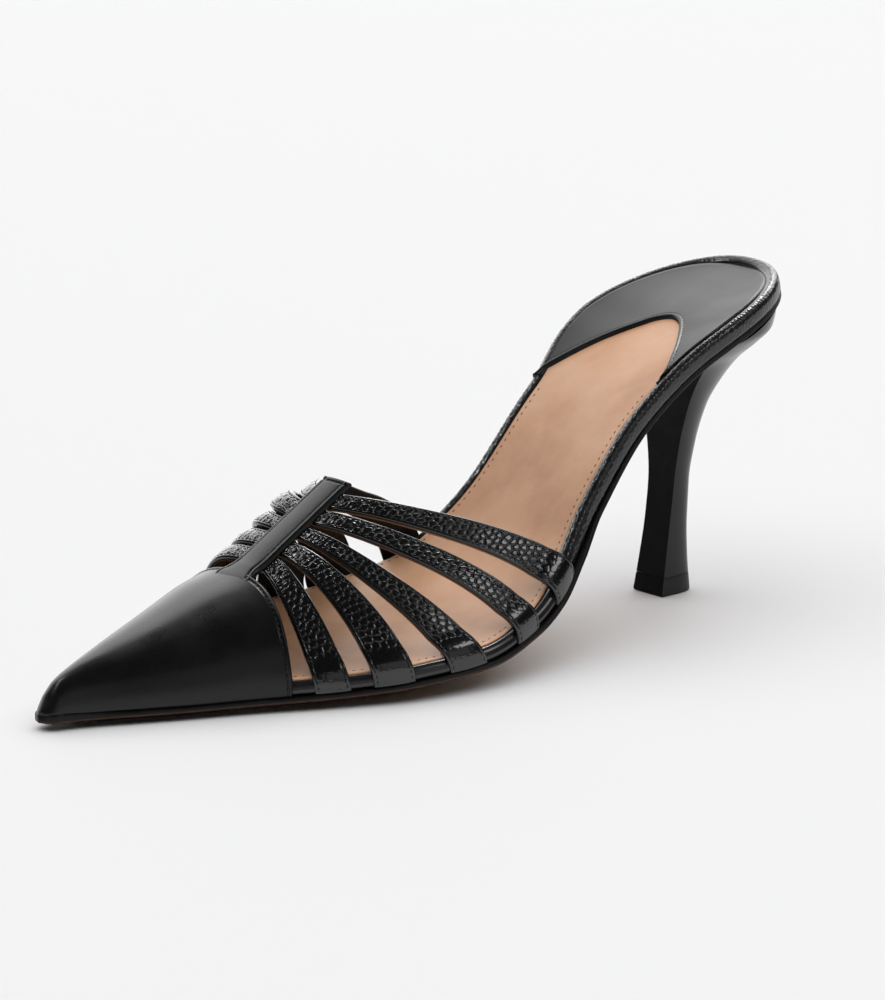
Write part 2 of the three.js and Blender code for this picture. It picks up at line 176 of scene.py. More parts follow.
CAP_NOSE = -1.385
CAP_FLARE = 2.3
BAR_FROM = 50.5
UNDER_BAR = 2.6
STRAP_AT_BAR = 4.4
BAR_CLEARANCE = 1.3
STRAP_THICK = 1.4
# How closely a strap is sampled along its length, fine enough for the grooves of its scales.
STRAP_STEP = 0.17
EDGE_ROLL = 0.6
PAD_THICK = 0.9
PAD_INSET = -3.0
# The wrap starts under the cap, and opens from a roll to a flat band along the waist.
WRAP_START = 50
WRAP_COUNT = 1300
WRAP_ROLL_END = 126
WRAP_BAND_FROM = 141
WRAP_TOP_ROWS = 9
RIM_SCALE_PITCH = 1.5
RIM_SEED = 40
BARE_LINE_END = 125
# How far the sole is trimmed back at the toe and the seat, and how far its toe lip stands up.
TOE_TRIM = 0.55
SEAT_TRIM = 0.5
TOE_LIP = 0.85
HEEL_TOP = 72

# Gathers beside the bar: how high each inner strap stands up, where along any strap they peak
# and end, and how much an inner strap is held back there.
GATHER = (2.2, 3.0, 3.8, 4.2, 3.2)
GATHER_PEAK = 10
GATHER_REACH = 26
GATHER_LAG = 0.8
# The extra width of an inner strap near the bar: where it peaks and how far it reaches, as shares
# of the strap's way sideways, and how much the front and the rear edge gain.
RIB_AT = 0.36
RIB_REACH = 0.26
RIB_FRONT = 0.8
RIB_REAR = 0.9
# How much wider each inner strap is low on the side, at its front and rear edges.
STRAP_SPREAD = ((0, 2.0), (1.8, 1.5), (1.3, 2.9), (2.3, 2.8), (0, 0))
# The smooth, unpressed foot of a strap, and the length over which it rounds into the sole.
LASTED = 8.5
LASTED_ROUND = 11


def curve(table, key, column):
    """A smooth curve through a table's column, without overshoot and straight past its ends."""
    names = table[0]
    xs = [row[names.index(key)] for row in table[1:]]
    ys = [row[names.index(column)] for row in table[1:]]
    last = len(xs) - 1
    steps = [(ys[i + 1] - ys[i]) / (xs[i + 1] - xs[i]) for i in range(last)]
    slopes = [steps[0]]
    for before, after in zip(steps, steps[1:]):
        turns = before * after <= 0
        slopes.append(0 if turns else 2 * before * after / (before + after))
    slopes.append(steps[-1])

    def value(x):
        inside = min(max(x, xs[0]), xs[last])
        beyond = (x - inside) * slopes[0 if x < inside else last]
        i = 0
        while i < last - 1 and inside > xs[i + 1]:
            i += 1
        h = xs[i + 1] - xs[i]
        t = (inside - xs[i]) / h
        start = (1 + 2 * t) * (1 - t) ** 2 * ys[i] + t * (1 - t) ** 2 * h * slopes[i]
        end = t * t * (3 - 2 * t) * ys[i + 1] + t * t * (t - 1) * h * slopes[i + 1]
        return start + end + beyond

    return value


bottom_outer = curve(LAST_BOTTOM, "x", "outer")
bottom_inner = curve(LAST_BOTTOM, "x", "inner")
seat_height = curve(LAST_BOTTOM, "x", "seat")
belly_depth = curve(LAST_BOTTOM, "x", "belly")
welt_width = curve(LAST_BOTTOM, "x", "welt")
ridge_side = curve(LAST_TOP, "x", "side")
ridge_top = curve(LAST_TOP, "x", "top")
outer_foot = curve(LAST_TOP, "x", "outer_foot")
inner_foot = curve(LAST_TOP, "x", "inner_foot")
cap_fullness = curve(LAST_TOP, "x", "full")
bar_half = curve(BAR_SHAPE, "x", "half")
bar_rise = curve(BAR_SHAPE, "x", "rise")
sock_inset = curve(SOCK_SHAPE, "x", "inset")
sock_dish = curve(SOCK_SHAPE, "x", "dish")


def place(point):
    """A point in the shoe's own lengths, in the frame's metres."""
    return (Vector(point) - BOX_MIDDLE) * MM


def ease(low, high, value):
    """0 below low, 1 above high, smooth between."""
    t = min(max((value - low) / (high - low), 0), 1)
    return t * t * (3 - 2 * t)


def half_width(x, side):
    """Half width of the insole at a length, rounded at the toe and at the heel end."""
    width = bottom_outer if side < 0 else bottom_inner
    if x < TOE_ROUND:
        run = min(1, (TOE_ROUND - x) / TOE_ROUND)
        return width(TOE_ROUND) * math.sqrt(max(0, 1 - run * run))
    if x > HEEL_ROUND_FROM:
        run = min(1, (x - HEEL_ROUND_FROM) / (FOOTBED_LENGTH - HEEL_ROUND_FROM))
        return width(HEEL_ROUND_FROM) * (1 - run * run) ** (HEEL_ROUND_POWER / 2)
    return width(x)


def edge_point(x, side, outwards):
    """A point of the insole's outline moved outwards by a distance."""
    ahead = min(x + 0.05, FOOTBED_LENGTH)
    behind = max(x - 0.05, 0)
    rise = half_width(ahead, side) - half_width(behind, side)
    run = ahead - behind
    size = math.hypot(rise, run)
    return (
        x - outwards * rise / size,
        side * (half_width(x, side) + outwards * run / size),
    )


def seat_slope(x):
    """How steeply the insole rises at a length."""
    return seat_height(x + 0.5) - seat_height(x - 0.5)


def below(x, y, depth):
    """A place a depth below the insole's own surface, square to it."""
    slope = seat_slope(x)
    size = math.hypot(1, slope)
    return Vector((x + depth * slope / size, y, seat_height(x) - depth / size))


def evenly(start, end, count):
    return [start + (end - start) * k / (count - 1) for k in range(count)]


def run_lengths(points):
    """How far along a line each of its points lies."""
    made = [0.0]
    for first, second in zip(points, points[1:]):
        made.append(made[-1] + (second - first).length)
    return made


def walk(points, shares):
    """For each share of a line's length: the point before it, and how far on to the next."""
    lengths = run_lengths(points)
    i = 0
    for share in shares:
        goal = lengths[-1] * share
        while i < len(points) - 2 and lengths[i + 1] < goal:
            i += 1
        yield i, (goal - lengths[i]) / max(lengths[i + 1] - lengths[i], 1e-9)


def spread(points, count):
    """Points resampled to an even spacing along their line."""
    return [points[i].lerp(points[i + 1], t) for i, t in walk(points, evenly(0, 1, count))]


def stations(count, length=FOOTBED_LENGTH, start=0.0):
    """Places from start to length, such as lengths of the sole, closer together at both ends."""
    made = []
    for i in range(count):
        t = i / (count - 1)
        even = 0.45 * t + 0.55 * (1 - math.cos(math.pi * t)) / 2
        made.append(start + even * (length - start))
    return made


# ---------------------------------------------------------------- making meshes

def lofted(count, around, where, closed=True):
    """A skin through count cross sections of around points, laid out by where(i, k).

    where gives a place in mm and a relief value.
    """
    bm = bmesh.new()
    rows = around if closed else around - 1
    bmesh.ops.create_grid(bm, x_segments=count - 1, y_segments=rows, size=0.5)
    relief = bm.verts.layers.float.new("relief")
    found = {}
    for v in bm.verts:
        i = round((v.co.x + 0.5) * (count - 1))
        k = round((v.co.y + 0.5) * rows)
        found[v] = (i, k)
    for v, (i, k) in found.items():
        point, depth = where(i, k % around)
        v.co = place(point)
        v[relief] = depth
    bmesh.ops.remove_doubles(bm, verts=bm.verts, dist=2e-6)
    if closed:
        open_edges = [e for e in bm.edges if e.is_boundary]
        bmesh.ops.holes_fill(bm, edges=open_edges, sides=0)
    bmesh.ops.recalc_face_normals(bm, faces=bm.faces)
    return bm


def finish_piece(name, bm, finishes, replaced=(), sharp=None):
    """Makes the piece's object from its bmesh, with its materials, and puts it in the frame."""
    mesh = bpy.data.meshes.new(name)
    bm.to_mesh(mesh)
    bm.free()
    mesh.shade_smooth()
    if sharp:
        mesh.set_sharp_from_angle(angle=math.radians(sharp))
    for finish in finishes:
        mesh.materials.append(finish)
    piece = bpy.data.objects.new(name, mesh)
    bpy.context.scene.collection.objects.link(piece)
    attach(piece, "root")
    if replaced:
        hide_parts(*replaced)
    return piece


def scale_relief(along, across, pitch, seed):
    """Height in mm of snake embossing, and how much a place is in a groove between scales."""
    step = pitch * SCALE_ROWS
    row = math.floor(along / step)
    best, second = (1e9, 0, 0, 0, 0), (1e9, 0, 0, 0, 0)
    for r in (row - 1, row, row + 1):
        shift = 0.5 * (r % 2)
        column = math.floor(across / pitch - shift)
        for c in (column - 1, column, column + 1):
            jitter = noise.cell_vector(Vector((r + 0.5, c + 0.5, seed + 0.5)))
            x = (r + 0.5 + SCALE_JITTER * (jitter.x - 0.5)) * step
            y = (c + 0.5 + shift + SCALE_JITTER * (jitter.y - 0.5)) * pitch
            away = math.hypot(along - x, across - y)
            if away < best[0]:
                second = best
                best = (away, x, y, jitter.z - 0.5, jitter.x - 0.5)
            elif away < second[0]:
                second = (away, x, y, 0, 0)
    wall = (second[0] - best[0]) / 2
    groove = math.exp(-((wall / GROOVE_HALF) ** 2))
    dome = SCALE_DOME * (1 - (best[0] / (0.6 * pitch)) ** 2)
    tilt = SCALE_TILT * (best[3] * (along - best[1]) + best[4] * (across - best[2]))
    return dome + tilt - GROOVE_DEPTH * groove, groove


def bead_row(bm, places, size):
    """Thread stitches: a small bead at each place, given as point, run and up in mm."""
    length, width, height = size
    small = bmesh.new()
    bmesh.ops.create_uvsphere(small, u_segments=6, v_segments=4, radius=0.5)
    bead = bpy.data.meshes.new("bead")
    small.to_mesh(bead)
    small.free()
    for point, run, up in places:
        side = up.cross(run).normalized()
        turn = Matrix((run * length, side * width, up * height)).transposed().to_4x4()
        turn = Matrix.Translation(place(point)) @ Matrix.Diagonal((MM, MM, MM, 1)) @ turn
        bead.transform(turn)
        bm.from_mesh(bead)
        bead.transform(turn.inverted())
    bpy.data.meshes.remove(bead)


# ---------------------------------------------------------------- finishes

def linear(code):
    """An sRGB hex colour as linear RGBA."""
    parts = [int(code[i:i + 2], 16) / 255 for i in (1, 3, 5)]
    return [p / 12.92 if p <= 0.04045 else ((p + 0.055) / 1.055) ** 2.4 for p in parts] + [1.0]


def add(tree, kind, sockets=None, stops=(), **settings):
    """Adds one node with its settings, values, links and, for a colour ramp, its hex stops."""
    made = tree.nodes.new(kind)
    for name, value in settings.items():
        setattr(made, name, value)
    for name, value in (sockets or {}).items():
        if isinstance(value, bpy.types.NodeSocket):
            tree.links.new(value, made.inputs[name])
        else:
            made.inputs[name].default_value = value
    if stops:
        elements = made.color_ramp.elements
        while len(elements) < len(stops):
            elements.new(0.5)
        for element, (position, code) in zip(elements, stops):
            element.position = position
            element.color = linear(code)
    return made


def new_finish(name):
    finish = bpy.data.materials.new(name)
    finish.use_nodes = True
    finish.node_tree.nodes.clear()
    return finish, finish.node_tree


def satin_leather(name, dark, light, low, high, depth=0.02):
    """Smooth aniline calf, plated: near black, a soft broad shine and a fine tight grain."""
    finish, tree = new_finish(name)
    where = add(tree, "ShaderNodeTexCoord").outputs["Object"]
    cloud = add(tree, "ShaderNodeTexNoise", {"Vector": where, "Scale": 90, "Detail": 4})
    # The real grain is about 0.2 mm; it is drawn at 0.6 mm so that it shows.
    pores = add(
        tree, "ShaderNodeTexVoronoi", {"Vector": where, "Scale": 1000 / 0.6},
        feature="SMOOTH_F1",
    )
    mottle = add(tree, "ShaderNodeTexNoise", {"Vector": where, "Scale": 450, "Detail": 3})
    height = add(
        tree, "ShaderNodeMath", {0: pores.outputs["Distance"], 1: mottle.outputs["Fac"]},
        operation="ADD",
    )
    bump = add(
        tree, "ShaderNodeBump",
        {"Height": height.outputs[0], "Strength": 0.35, "Distance": depth * MM},
    )
    shine = add(
        tree, "ShaderNodeMapRange",
        {"Value": cloud.outputs["Fac"], "From Min": 0.3, "From Max": 0.7,
         "To Min": low, "To Max": high},
    )
    colour = add(
        tree, "ShaderNodeValToRGB", {"Fac": cloud.outputs["Fac"]},
        stops=((0.3, dark), (0.7, light)),
    )
    shader = add(
        tree, "ShaderNodeBsdfPrincipled",
        {"Base Color": colour.outputs["Color"],
         "Roughness": shine.outputs["Result"], "IOR": 1.45,
         "Normal": bump.outputs["Normal"]},
    )
    add(tree, "ShaderNodeOutputMaterial", {"Surface": shader.outputs["BSDF"]})
    return finish


def snake_leather(name, dark, light, glossy, dull, coat):
    """Calf pressed with snake scales and glazed: glossy scales, duller in the grooves, with painted
    shade that colours the grooves darker than the scales.
    """
    finish, tree = new_finish(name)
    where = add(tree, "ShaderNodeTexCoord").outputs["Object"]
    relief = add(tree, "ShaderNodeAttribute", attribute_name="relief").outputs["Fac"]
    # Glazing leaves fine ripples, about 0.5 mm apart, that break up the shine.
    ripple = add(
        tree, "ShaderNodeTexNoise", {"Vector": where, "Scale": 1400, "Detail": 2, "Roughness": 0.6}
    )
    cloud = add(tree, "ShaderNodeTexNoise", {"Vector": where, "Scale": 160, "Detail": 2})
    bump = add(
        tree, "ShaderNodeBump",
        {"Height": ripple.outputs["Fac"], "Strength": 0.5, "Distance": 0.05 * MM},
    )
    rough = add(
        tree, "ShaderNodeMapRange",
        {"Value": relief, "From Min": 0.1, "From Max": 0.9, "To Min": glossy, "To Max": dull},
    )
    wear = add(
        tree, "ShaderNodeMath",
        {0: cloud.outputs["Fac"], 1: 0.14, 2: rough.outputs["Result"]},
        operation="MULTIPLY_ADD",
    )
    # Painted shade: the grooves are coloured darker than the scale faces.
    colour = add(
        tree, "ShaderNodeValToRGB", {"Fac": relief}, stops=((0.1, light), (0.8, dark))
    )
    shader = add(
        tree, "ShaderNodeBsdfPrincipled",
        {"Base Color": colour.outputs["Color"],
         "Roughness": wear.outputs[0], "IOR": 1.48, "Coat Weight": coat,
         "Coat Roughness": 0.1, "Normal": bump.outputs["Normal"]},
    )
    add(tree, "ShaderNodeOutputMaterial", {"Surface": shader.outputs["BSDF"]})
    return finish


def sock_leather(name):
    """Unglazed tan lining leather: warm, nearly matt, a soft mottle and tiny pores."""
    finish, tree = new_finish(name)
    where = add(tree, "ShaderNodeTexCoord").outputs["Object"]
    cloud = add(
        tree, "ShaderNodeTexNoise", {"Vector": where, "Scale": 38, "Detail": 5, "Roughness": 0.55}
    )
    # Pores are about 0.3 mm; they are drawn at 0.8 mm so that they show.
    pores = add(tree, "ShaderNodeTexVoronoi", {"Vector": where, "Scale": 1000 / 0.8})
    wrinkle = add(
        tree, "ShaderNodeTexNoise", {"Vector": where, "Scale": 260, "Detail": 3, "Distortion": 0.6}
    )
    height = add(
        tree, "ShaderNodeMath",
        {0: wrinkle.outputs["Fac"], 1: 2.0, 2: pores.outputs["Distance"]},
        operation="MULTIPLY_ADD",
    )
    bump = add(
        tree, "ShaderNodeBump",
        {"Height": height.outputs[0], "Strength": 0.3, "Distance": 0.05 * MM},
    )
    colour = add(
        tree, "ShaderNodeValToRGB", {"Fac": cloud.outputs["Fac"]},
        stops=((0.25, "#B98560"), (0.5, "#D29F79"), (0.78, "#DFB391")),
    )
    shader = add(
        tree, "ShaderNodeBsdfPrincipled",
        {"Base Color": colour.outputs["Color"], "Roughness": 0.48, "IOR": 1.45,
         "Normal": bump.outputs["Normal"]},
    )
    add(tree, "ShaderNodeOutputMaterial", {"Surface": shader.outputs["BSDF"]})
    return finish


def plain_finish(name, dark, light, scale, roughness, bump_mm=0.02, ior=1.5):
    """A coloured edge, thread or rubber: nearly plain, with a faint mottle and roughness."""
    finish, tree = new_finish(name)
    where = add(tree, "ShaderNodeTexCoord").outputs["Object"]
    mottle = add(tree, "ShaderNodeTexNoise", {"Vector": where, "Scale": scale, "Detail": 4})
    bump = add(
        tree, "ShaderNodeBump",
        {"Height": mottle.outputs["Fac"], "Strength": 0.4, "Distance": bump_mm * MM},
    )
    rough = add(
        tree, "ShaderNodeMapRange",
        {"Value": mottle.outputs["Fac"], "From Min": 0.3, "From Max": 0.7,
         "To Min": roughness * 0.85, "To Max": roughness * 1.15},
    )
    colour = add(
        tree, "ShaderNodeValToRGB", {"Fac": mottle.outputs["Fac"]},
        stops=((0.3, dark), (0.7, light)),
    )
    shader = add(
        tree, "ShaderNodeBsdfPrincipled",
        {"Base Color": colour.outputs["Color"],
         "Roughness": rough.outputs["Result"], "IOR": ior, "Normal": bump.outputs["Normal"]},
    )
    add(tree, "ShaderNodeOutputMaterial", {"Surface": shader.outputs["BSDF"]})
    return finish


# Plated calf of the cap and bar: deep black under one soft, broad shine.
CALF = satin_leather("smooth_calf_leather", "#0A0A0B", "#111112", 0.26, 0.34, depth=0.045)
# Softer calf of the heel pad: a shade lighter, with a weaker shine.
PAD_CALF = satin_leather("heel_pad_calf_leather", "#101010", "#181818", 0.32, 0.42)
# Calf pulled tight over the heel: its grain is stretched flat, so the shine has a clear edge.
HEEL_CALF = satin_leather("heel_cover_calf_leather", "#0E0C0B", "#151312", 0.18, 0.24, depth=0.008)
# Ink on the heel's breast: a plain matt black that hardly answers the light.
BREAST_INK = plain_finish("matt_black_breast_ink", "#020202", "#050505", 300, 0.5, ior=1.18)
# Pressed and glazed calf of the straps: scales that glint one by one between dull grooves.
SNAKE = snake_leather("snake_embossed_glazed_calf", "#020202", "#070708", 0.17, 0.3, 0.8)
# The same leather on the insole's rim: greyer and less glossy.
RIM_SNAKE = snake_leather("snake_embossed_rim_calf", "#050505", "#191818", 0.22, 0.4, 0.5)
SOCK = sock_leather("tan_sock_leather")
# Kid lining: dull black, so that what is inside the shoe falls back.
LINING = plain_finish("black_kid_lining", "#0B0A0A", "#141212", 500, 0.75, ior=1.4)
# Brushed edge ink: black with a weak, uneven shine.
EDGE_INK = plain_finish("black_edge_ink", "#080707", "#100E0D", 500, 0.42, ior=1.38)
# The line where the sole's edge is burnished and not inked: a thin dark red brown.
EDGE_BARE = plain_finish("burnished_sole_edge", "#3A1E12", "#5A3322", 300, 0.45)
# Oak-tanned sole leather: a plain tan underside.
SOLE_TAN = plain_finish("oak_tanned_sole_leather", "#94704F", "#A98563", 120, 0.5, bump_mm=0.06)
# Moulded rubber of the top piece: greyish black and even.
RUBBER = plain_finish("hard_lift_rubber", "#0D0C0B", "#161514", 900, 0.4, ior=1.45)
# Waxed thread: lighter than the leather, so that each stitch shows as a small glint.
BLACK_THREAD = plain_finish("waxed_black_thread", "#161616", "#2C2C2C", 3000, 0.28, ior=1.55)
# Unwaxed thread: dull brown beads on the tan.
TAN_THREAD = plain_finish("brown_thread", "#5A3620", "#7A4C30", 3000, 0.6)


# ---------------------------------------------------------------- sole, insole and sock

def plate(count, rim, top, middle, across=9, start=0.0, length=FOOTBED_LENGTH):
    """A plate that follows the insole. rim(x): (depth, out) pairs down its edge.

    top(x, share) and middle(x, share) give depths inside the rim, above and below.
    """
    xs = stations(count, length, start)
    shares = [-math.cos(math.pi * (k + 1) / (across + 1)) for k in range(across)]
    sections = []
    for x in xs:
        rows = rim(x)
        first, last = rows[0][1], rows[-1][1]

        def edge(side):
            made = []
            for depth, out in rows:
                px, py = edge_point(x, side, out)
                made.append(below(px, py, depth))
            return made

        def inside(out, share, depth):
            a = edge_point(x, OUTER, out)
            b = edge_point(x, INNER, out)
            t = (share + 1) / 2
            return below(a[0] + (b[0] - a[0]) * t, a[1] + (b[1] - a[1]) * t, depth)

        ring = edge(OUTER)
        ring += [inside(last, s, middle(x, s)) for s in shares]
        ring += edge(INNER)[::-1]
        ring += [inside(first, -s, top(x, -s)) for s in shares]
        sections.append(ring)

    def where(i, k):
        point = sections[i][k]
        return Vector((point.x, point.y, max(point.z, 0))), 0.0

    return lofted(count, len(sections[0]), where)


def rounded_rim(top, bottom, out, radius, steps=3):
    """Pairs of depth and way out down an edge with both corners rounded."""
    turns = [math.pi / 2 * k / steps for k in range(steps + 1)]
    upper = [(top + radius * (1 - math.cos(t)), out - radius * (1 - math.sin(t))) for t in turns]
    lower = [
        (bottom - radius * (1 - math.sin(t)), out - radius * (1 - math.cos(t))) for t in turns
    ]
    return upper + lower


def make_outsole():
    """Thin leather sole: a bevelled black edge with a bare line, a lip at the toe, tan below."""
    high, low = OUTSOLE_DEPTH - 0.1, OUTSOLE_DEPTH + OUTSOLE_THICK
    edge_low = high + EDGE_THICK
    bare_top, bare_low = edge_low - 0.45, edge_low - 0.15

    def rim(x):
        toe = 1 - ease(2, 20, x)
        out = welt_width(x) - TOE_TRIM * toe - SEAT_TRIM * ease(150, 180, x)
        top = high - TOE_LIP * toe
        return (
            (high, out - 1.6), (top + 0.25, out - 1.0), (top, out - 0.7), (top + 0.08, out - 0.35),
            (top + 0.3, out - 0.08), (top + 0.6, out), (edge_low - 0.5, out + 0.02),
            (bare_top, out - 0.04), (edge_low - 0.2, out - 0.04), (bare_low, out),
            (edge_low, out - 0.1), (edge_low + 0.12, out - 0.45), (low, out - BEVEL_WIDTH),
        )

    def under(x, share):
        return low + belly_depth(x) * (1 - abs(share) ** 3)

    bm = plate(220, rim, lambda x, share: high, under, across=15)
    for face in bm.faces:
        middle = face.calc_center_median() / MM + BOX_MIDDLE
        depth = depth_below(middle)
        if bare_top < depth < bare_low and middle.x < BARE_LINE_END:
            face.material_index = 1
        elif depth > low - 0.2:
            face.material_index = 2
    return finish_piece(
        "outsole_leather", bm, (EDGE_INK, EDGE_BARE, SOLE_TAN), ("outsole",), 40
    )


def depth_below(point):
    """How deep a place is below the insole's surface, square to it."""
    x = point.x
    for _ in range(5):
        slope = seat_slope(x)
        size = math.hypot(1, slope)
        depth = (point.x - x) * slope / size - (point.z - seat_height(x)) / size
        x = point.x - depth * slope / size
    return depth


def sock_depth(x, y):
    """Depth of the sock's face under the insole's outline: dished in the middle."""
    side = OUTER if y < 0 else INNER
    share = min(abs(y) / max(half_width(x, side), 1), 1)
    return 0.15 + sock_dish(x) * (1 - share ** 2.4)


def make_insole():
    """The board that sock, pad and wrap lie on."""
    def rim(x):
        return rounded_rim(1.0, FOOTBED_THICK, -0.9, 0.7)

    bm = plate(160, rim, lambda x, s: 2.5, lambda x, s: FOOTBED_THICK, across=7, start=2.2)
    return finish_piece("insole_board", bm, (LINING,), ("footbed",))


def make_sock():
    """The tan sock, a thin sheet over the whole insole with a soft cut edge."""
    xs = stations(190, FOOTBED_LENGTH - 2.9, 3.0)
    across = 44
    shares = [-math.cos(math.pi * k / across) for k in range(across + 1)]
    thick = 0.7

    def top(x, share):
        side = OUTER if share < 0 else INNER
        inset = sock_inset(x)
        px, py = edge_point(min(x, FOOTBED_LENGTH - 0.4), side, -inset)
        other = edge_point(min(x, FOOTBED_LENGTH - 0.4), -side, -inset)
        t = abs(share)
        middle = ((px + other[0]) / 2, (py + other[1]) / 2)
        return middle[0] + (px - middle[0]) * t, middle[1] + (py - middle[1]) * t

    ring = [(s, 0.0) for s in shares] + [(s, thick) for s in shares[::-1]]

    def where(i, k):
        share, drop = ring[k]
        x, y = top(xs[i], share)
        edge_drop = 0.22 * ease(0.985, 1.0, abs(share))
        return below(x, y, sock_depth(x, y) + drop + edge_drop), 0.0

    bm = lofted(len(xs), len(ring), where)
    return finish_piece("sock_lining", bm, (SOCK,))


def rounded_line(points, per_span=12):
    """A smooth line through a few points."""
    made = []
    ends = [points[0] * 2 - points[1], *points, points[-1] * 2 - points[-2]]
    for a, b, c, d in zip(ends, ends[1:], ends[2:], ends[3:]):
        for k in range(per_span):
            t = k / per_span
            made.append(
                0.5 * (2 * b + (c - a) * t + (2 * a - 5 * b + 4 * c - d) * t * t
                       + (3 * b - a - 3 * c + d) * t ** 3)
            )
    return made + [points[-1]]


def seat_line(start_inner, start_outer, out, count):
    """Plan points round the heel end, a way out of it, from the inner to the outer side."""
    reach = FOOTBED_LENGTH - 0.02
    bend = [math.sin(math.pi / 2 * k / 240) for k in range(241)]
    inner = [edge_point(start_inner + (reach - start_inner) * t, INNER, out) for t in bend]
    outer = [edge_point(start_outer + (reach - start_outer) * t, OUTER, out) for t in bend]
    return spread([Vector(p) for p in inner + outer[::-1]], count)


# The wrap's section from the sock over the rim and down its side: way out and depth, for the
# forefoot, where it is a smooth roll, and for the waist and seat, where it is a flat band.
WRAP_SECTION = (
    (-1.9, 1.50, -3.4, 0.75), (-1.5, 1.1, -3.0, 0.55), (-1.2, 0.88, -2.75, 0.2),
    (-0.9, 0.8, -2.45, 0.02), (-0.6, 0.82, -2.1, -0.1), (-0.32, 0.92, -1.75, -0.15),
    (-0.06, 1.1, -1.4, -0.14), (0.18, 1.34, -1.05, -0.06), (0.4, 1.62, -0.75, 0.1),
    (0.58, 1.92, -0.45, 0.34), (0.72, 2.25, -0.22, 0.65), (0.82, 2.6, -0.06, 1.0),
    (0.88, 2.95, 0.02, 1.4), (0.88, 3.3, 0.06, 1.8), (0.82, 3.62, 0.07, 2.2),
    (0.7, 3.9, 0.07, 2.6), (0.5, 4.12, 0.06, 3.0), (0.24, 4.27, 0.04, 3.4),
    (-0.1, 4.34, 0.0, 3.8), (-0.4, 4.36, -0.1, 4.1), (-0.8, 4.38, -0.5, 4.3),
    (-1.8, 4.2, -2.0, 4.2), (-2.2, 3.0, -3.4, 2.4),
)


def make_wrap():
    """The snake leather wrapped over the insole's rim; a smooth roll between the straps."""
    bend = [math.sin(math.pi / 2 * k / 500) for k in range(501)]
    reach = FOOTBED_LENGTH - 0.02
    lengths = [WRAP_START + (reach - WRAP_START) * t for t in bend]
    line = [Vector((*edge_point(x, INNER, 0), 0)) for x in lengths]
    line += [Vector((*edge_point(x, OUTER, 0), 0)) for x in lengths[::-1]]
    tags = spread(line, WRAP_COUNT)
    run = run_lengths(tags)
    ahead = [tags[min(i + 1, WRAP_COUNT - 1)] - tags[max(i - 1, 0)] for i in range(WRAP_COUNT)]
    away = [Vector((d.y, -d.x, 0)).normalized() for d in ahead]
    girth = [0.0]
    for first, second in zip(WRAP_SECTION, WRAP_SECTION[1:]):
        girth.append(girth[-1] + math.hypot(second[2] - first[2], second[3] - first[3]))
    face_rows = len(WRAP_SECTION) - 2

    def where(i, k):
        point = tags[i]
        outward = -away[i] if away[i].dot(Vector((point.x - 150, point.y, 0))) < 0 else away[i]
        flat = ease(WRAP_ROLL_END, WRAP_BAND_FROM, point.x)
        out_a, deep_a, out_b, deep_b = WRAP_SECTION[k]
        out = out_a + (out_b - out_a) * flat
        deep = deep_a + (deep_b - deep_a) * flat
        relief, groove = 0.0, 0.0
        if flat > 0.2 and 1 < k < face_rows - 1:
            across = girth[k] + 0.35 * math.sin(run[i])
            relief, groove = scale_relief(run[i] * 1.3, across, RIM_SCALE_PITCH, RIM_SEED)
            relief *= flat * (0.8 if girth[k] < 4.2 else 0.45)
            groove *= flat * 0.8
        stitch = flat * math.exp(-((girth[k] - 1.35) / 0.22) ** 2)
        lift = relief * (1 - stitch) - 0.14 * stitch
        # The first rows face up and the others out, so the scales stand up or out.
        faces_up = k <= WRAP_TOP_ROWS
        at = point + outward * (out + (0 if faces_up else lift))
        return below(at.x, at.y, deep - (lift if faces_up else 0)), groove

    bm = lofted(WRAP_COUNT, len(WRAP_SECTION), where)
    return finish_piece("insole_wrap", bm, (RIM_SNAKE,))


def pad_lines(count):
    """The pad's mouth and its outer edge in plan, from the inner side to the outer side."""
    mouth = spread(rounded_line([Vector(p) for p in PAD_MOUTH]), count)
    rim = seat_line(mouth[0].x, mouth[-1].x, PAD_INSET, count)
    return mouth, rim


def make_pad():
    """The smooth calf heel pad, turned and stitched along its mouth."""
    count = 260
    mouth, rim = pad_lines(count)
    rows = [0, 0.12, 0.3, 0.6, 0.9, 1.2, 1.5, 1.7, 1.9, 2.2, 2.8]
    inside = [k / 26 for k in range(1, 27)]

    def profile(from_mouth, from_rim):
        high = PAD_THICK + 0.22 * ease(0, 0.5, from_mouth) * (1 - ease(1.2, 1.7, from_mouth))
        high -= 0.16 * math.exp(-((from_mouth - 1.55) / 0.2) ** 2)
        high -= 0.75 * (1 - ease(0, 0.45, from_mouth))
        return high - 0.55 * (1 - ease(0, 0.5, from_rim))

    def where(i, k):
        a, b = mouth[i], rim[i]
        gap = max((b - a).length, 1e-6)
        if k < len(rows):
            share = min(rows[k] / gap, 1)
        elif k < len(rows) + len(inside):
            base = min(rows[-1] / gap, 1)
            share = base + (1 - base) * inside[k - len(rows)]
        else:
            share = 1 if k == len(rows) + len(inside) else 0
        at = a.lerp(b, share)
        under = k >= len(rows) + len(inside)
        high = -0.3 if under else profile(share * gap, (1 - share) * gap)
        return below(at.x, at.y, sock_depth(at.x, at.y) - high), 0.0

    bm = lofted(count, len(rows) + len(inside) + 2, where)
    return finish_piece("heel_pad", bm, (PAD_CALF,))


# ---------------------------------------------------------------- cap, bar and straps

def nose_half(x, side):
    """Half width of the cap's foot where the outline rounds over the toe."""
    full = half_width(TOE_ROUND, side) + UPPER_STAND
    run = min(1, (TOE_ROUND - x) / (TOE_ROUND + UPPER_STAND))
    return full * math.sqrt(max(0, 1 - run * run))


